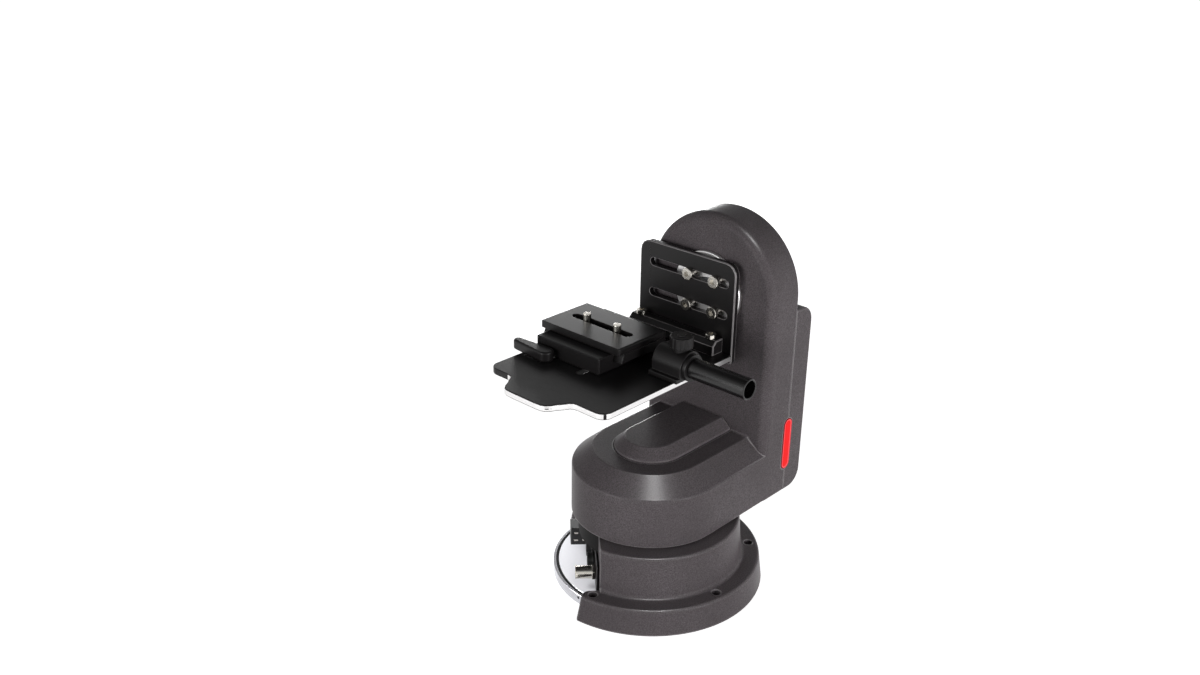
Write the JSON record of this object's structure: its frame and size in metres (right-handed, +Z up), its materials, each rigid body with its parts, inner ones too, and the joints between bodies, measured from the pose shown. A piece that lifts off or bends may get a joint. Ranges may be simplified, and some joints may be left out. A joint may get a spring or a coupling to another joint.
{
  "type": "remote pan tilt head",
  "caption": "Motorised camera head: round bolted base, turning platform with one tall arm, and a tilting side and bottom plate cradle with quick release plate and lens rod.",
  "frame": {"origin": "on the pan axis, at the underside of the base", "axes": "+Z up along the pan axis, +X from the pan axis to the arm, -Y the way the lens looks"},
  "size_m": [0.214, 0.1791, 0.27],
  "materials": {
    "painted_casting": "satin dark grey paint on cast aluminium",
    "dark_paint": "near-black satin paint",
    "machined_aluminium": "turned, bare",
    "black_anodised": "black anodised, satin",
    "bearing_steel": "ground",
    "nickel_plate": "nickel plated",
    "gear_brass": "cut",
    "seal_rubber": "matt",
    "belt_rubber": "matt",
    "black_plastic": "moulded",
    "circuit_board": "soldermask",
    "red_lens": "lit red diffuser"
  },
  "bodies": {
    "base": {"base_casting": "painted_casting", "base_plate": "machined_aluminium", "base_seal": "seal_rubber", "connector_panel": "black_anodised", "power_connector": "black_plastic", "data_connector": "black_plastic", "coaxial_jack": "nickel_plate", "terminal_block": "black_plastic", "terminal_screw_1": "nickel_plate", "terminal_screw_2": "nickel_plate", "terminal_screw_3": "nickel_plate", "terminal_screw_4": "nickel_plate", "pan_clamp_ring": "machined_aluminium", "pan_bearing_housing": "dark_paint", "pan_outer_race": "bearing_steel", "pan_sun_gear": "gear_brass", "slip_ring_stator": "black_plastic"},
    "head": {"head_casting": "painted_casting", "platform_cap": "painted_casting", "arm_cover": "painted_casting", "cover_screw_1": "bearing_steel", "cover_screw_2": "bearing_steel", "cover_screw_3": "bearing_steel", "cover_screw_4": "bearing_steel", "tally_lens": "red_lens", "tally_board": "circuit_board", "control_board": "circuit_board", "pan_spindle": "bearing_steel", "pan_inner_race": "bearing_steel", "pan_ball_ring": "bearing_steel", "pan_motor_plate": "black_anodised", "pan_motor": "bearing_steel", "slip_ring_rotor": "black_plastic", "tilt_bearing_1": "bearing_steel", "tilt_bearing_2": "bearing_steel", "tilt_belt": "belt_rubber", "tilt_motor_plate": "black_anodised", "tilt_motor": "bearing_steel"},
    "pan_drive": {"pan_pinion": "bearing_steel"},
    "tilt_drive": {"drive_pulley": "machined_aluminium"},
    "tilt": {"tilt_hub": "machined_aluminium", "tilt_shaft": "bearing_steel", "tilt_pulley": "machined_aluminium", "hub_screw_1": "bearing_steel", "hub_screw_2": "bearing_steel", "hub_screw_3": "bearing_steel", "hub_screw_4": "bearing_steel"},
    "cradle": {"side_plate": "black_anodised", "corner_block": "black_anodised", "corner_screw_1": "bearing_steel", "corner_screw_2": "bearing_steel", "bottom_plate": "black_anodised", "rod_clamp": "black_anodised"},
    "rod": {"support_rod": "black_anodised"},
    "clamp_knob": {"rod_knob": "black_anodised"},
    "release": {"release_base": "black_anodised"},
    "lever": {"release_lever": "black_anodised"},
    "camera_mount": {"camera_plate": "black_anodised"},
    "screw_front": {"camera_screw_front": "bearing_steel"},
    "screw_rear": {"camera_screw_rear": "bearing_steel"}
  },
  "joints": [
    {"name": "pan", "type": "hinge", "parent": "base", "child": "head", "pos_m": [0, 0, 0.0422], "axis": [0, 0, 1], "range_deg": [-175, 175]},
    {"name": "pan_pinion_spin", "type": "hinge", "parent": "head", "child": "pan_drive", "pos_m": [0.0264, 0, 0.0417], "axis": [0, 0, 1], "range_deg": [-440, 440]},
    {"name": "tilt", "type": "hinge", "parent": "head", "child": "tilt", "pos_m": [0.0657, 0, 0.212], "axis": [-1, 0, 0], "range_deg": [-90, 90]},
    {"name": "drive_pulley_spin", "type": "hinge", "parent": "head", "child": "tilt_drive", "pos_m": [0.0785, 0, 0.08], "axis": [-1, 0, 0], "range_deg": [-330, 330]},
    {"name": "balance_slide", "type": "slide", "parent": "tilt", "child": "cradle", "axis": [0, -1, 0], "range_m": [-0.004, 0.034]},
    {"name": "rod_slide", "type": "slide", "parent": "cradle", "child": "rod", "axis": [0, -1, 0], "range_m": [0, 0.018]},
    {"name": "knob_turn", "type": "hinge", "parent": "cradle", "child": "clamp_knob", "pos_m": [0, -0.025, 0.197], "axis": [0, 0, 1], "range_deg": [-180, 180]},
    {"name": "release_shift", "type": "slide", "parent": "cradle", "child": "release", "axis": [1, 0, 0], "range_m": [-0.012, 0.008]},
    {"name": "lever_turn", "type": "hinge", "parent": "release", "child": "lever", "pos_m": [-0.049, 0.06, 0.1753], "axis": [0, 0, 1], "range_deg": [0, 70]},
    {"name": "plate_slide", "type": "slide", "parent": "release", "child": "camera_mount", "axis": [0, -1, 0], "range_m": [0, 0.012]},
    {"name": "front_screw_turn", "type": "hinge", "parent": "camera_mount", "child": "screw_front", "pos_m": [-0.006, 0.03, 0.185], "axis": [0, 0, 1], "range_deg": [-180, 180]},
    {"name": "rear_screw_turn", "type": "hinge", "parent": "camera_mount", "child": "screw_rear", "pos_m": [-0.006, 0.06, 0.185], "axis": [0, 0, 1], "range_deg": [-180, 180]}
  ],
  "couplings": [
    {"joint": "pan_pinion_spin", "follows": "pan", "ratio": 2.5},
    {"joint": "drive_pulley_spin", "follows": "tilt", "ratio": 3.6}
  ]
}
